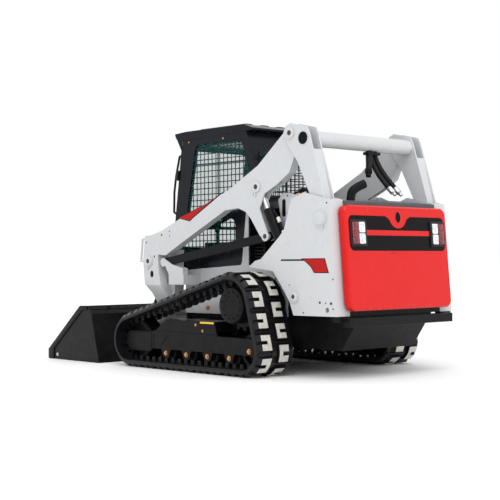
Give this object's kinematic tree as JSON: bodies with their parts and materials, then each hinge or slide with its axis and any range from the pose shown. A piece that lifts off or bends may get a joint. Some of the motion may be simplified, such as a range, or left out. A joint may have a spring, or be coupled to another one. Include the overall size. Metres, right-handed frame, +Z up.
{
  "type": "compact track loader",
  "caption": "Compact rubber-track loader with vertical-path lift arms, a tilting bucket on a quick coupler, a hinged cab door and a swing-out tailgate.",
  "frame": {"origin": "on the ground under the middle of the whole machine, bucket included", "axes": "+X forward towards the bucket, +Y to the machine's left, +Z up"},
  "size_m": [3.5299, 1.93, 2.065],
  "materials": {
    "white_paint": "gloss",
    "red_paint": "gloss",
    "black_paint": "satin",
    "cab_black": "satin",
    "rubber": "matte",
    "steel": "worn",
    "chrome": "polished",
    "cast": "rough",
    "glass": "clear",
    "seat_vinyl": "matte",
    "plastic": "moulded",
    "red_lens": "gloss",
    "clear_lens": "gloss"
  },
  "bodies": {
    "chassis": {"main_frame": "black_paint", "body_tower_left": "white_paint", "body_tower_right": "white_paint", "control_link_bracket_left": "white_paint", "control_link_bracket_right": "white_paint", "bulkhead": "black_paint", "engine_block": "cast", "engine_cover": "black_paint", "exhaust_elbow": "black_paint", "rear_bumper": "black_paint", "cab_frame": "cab_black", "cab_roof": "cab_black", "seat": "seat_vinyl", "seat_bar": "black_paint", "control_consoles": "plastic", "side_windows": "glass", "side_screens": "black_paint", "rear_window": "glass", "work_lamps": "clear_lens", "track_left": "rubber", "track_right": "rubber", "track_frame_left": "black_paint", "track_frame_right": "black_paint", "drive_sprockets": "black_paint", "track_idlers": "black_paint", "track_rollers": "black_paint", "side_panel_left": "white_paint", "side_panel_right": "white_paint", "side_grilles": "black_paint"},
    "rear_link": {"rear_link": "white_paint", "lift_hoses": "rubber"},
    "control_links": {"control_links": "black_paint"},
    "lift_arms": {"lift_arm_left": "white_paint", "lift_arm_right": "white_paint", "arm_cross_member": "white_paint"},
    "lift_barrels": {"lift_cylinder_barrels": "black_paint"},
    "lift_rods": {"lift_cylinder_rods": "chrome"},
    "tilt_barrels": {"tilt_cylinder_barrels": "black_paint"},
    "tilt_rods": {"tilt_cylinder_rods": "chrome"},
    "bucket": {"quick_coupler": "black_paint", "bucket": "black_paint", "cutting_edge": "steel"},
    "tailgate": {"tailgate": "red_paint", "tailgate_panel": "black_paint", "tail_lamps": "red_lens"},
    "cab_door": {"cab_door": "cab_black", "door_glass": "glass"}
  },
  "joints": [
    {"name": "control_link_swing", "type": "hinge", "parent": "chassis", "child": "control_links", "pos_m": [0.414, 0, 0.893], "axis": [0, -1, 0], "range_deg": [-39.2, 0.2]},
    {"name": "arm_lift", "type": "hinge", "parent": "control_links", "child": "lift_arms", "pos_m": [-0.899, 0, 1.094], "axis": [0, -1, 0], "range_deg": [0, 104.2]},
    {"name": "rear_link_swing", "type": "hinge", "parent": "chassis", "child": "rear_link", "pos_m": [-1.536, 0, 1.216], "axis": [0, -1, 0], "range_deg": [-0.2, 10.4]},
    {"name": "lift_barrel_swing", "type": "hinge", "parent": "chassis", "child": "lift_barrels", "pos_m": [-1.261, 0, 0.625], "axis": [0, -1, 0], "range_deg": [-0.2, 11.1]},
    {"name": "lift_rod_slide", "type": "slide", "parent": "lift_barrels", "child": "lift_rods", "axis": [0.4695, 0, 0.8829], "range_m": [-0.001, 0.598]},
    {"name": "bucket_tilt", "type": "hinge", "parent": "lift_arms", "child": "bucket", "pos_m": [0.929, 0, 0.185], "axis": [0, -1, 0], "range_deg": [-108, 28]},
    {"name": "tilt_barrel_swing", "type": "hinge", "parent": "lift_arms", "child": "tilt_barrels", "pos_m": [0.59, 0, 0.904], "axis": [0, -1, 0], "range_deg": [-1.3, 0.5]},
    {"name": "tilt_rod_slide", "type": "slide", "parent": "tilt_barrels", "child": "tilt_rods", "axis": [0.5254, 0, -0.8509], "range_m": [-0.073, 0.276]},
    {"name": "tailgate_hinge", "type": "hinge", "parent": "chassis", "child": "tailgate", "pos_m": [-1.71768, -0.624, 0.51879], "axis": [0.0877, 0, 0.9961], "range_deg": [0, 100]},
    {"name": "cab_door_hinge", "type": "hinge", "parent": "chassis", "child": "cab_door", "pos_m": [0.5626, -0.419, 0.96998], "axis": [0.1422, 0, -0.9898], "range_deg": [0, 88]}
  ],
  "couplings": [
    {"joint": "control_link_swing", "follows": "arm_lift", "ratio": -0.37442},
    {"joint": "rear_link_swing", "follows": "arm_lift", "ratio": 0.09783},
    {"joint": "lift_barrel_swing", "follows": "arm_lift", "ratio": 0.10465},
    {"joint": "lift_rod_slide", "follows": "arm_lift", "m_per_rad": 0.32762},
    {"joint": "tilt_barrel_swing", "follows": "bucket_tilt", "ratio": 0.01},
    {"joint": "tilt_rod_slide", "follows": "bucket_tilt", "m_per_rad": -0.14563}
  ]
}
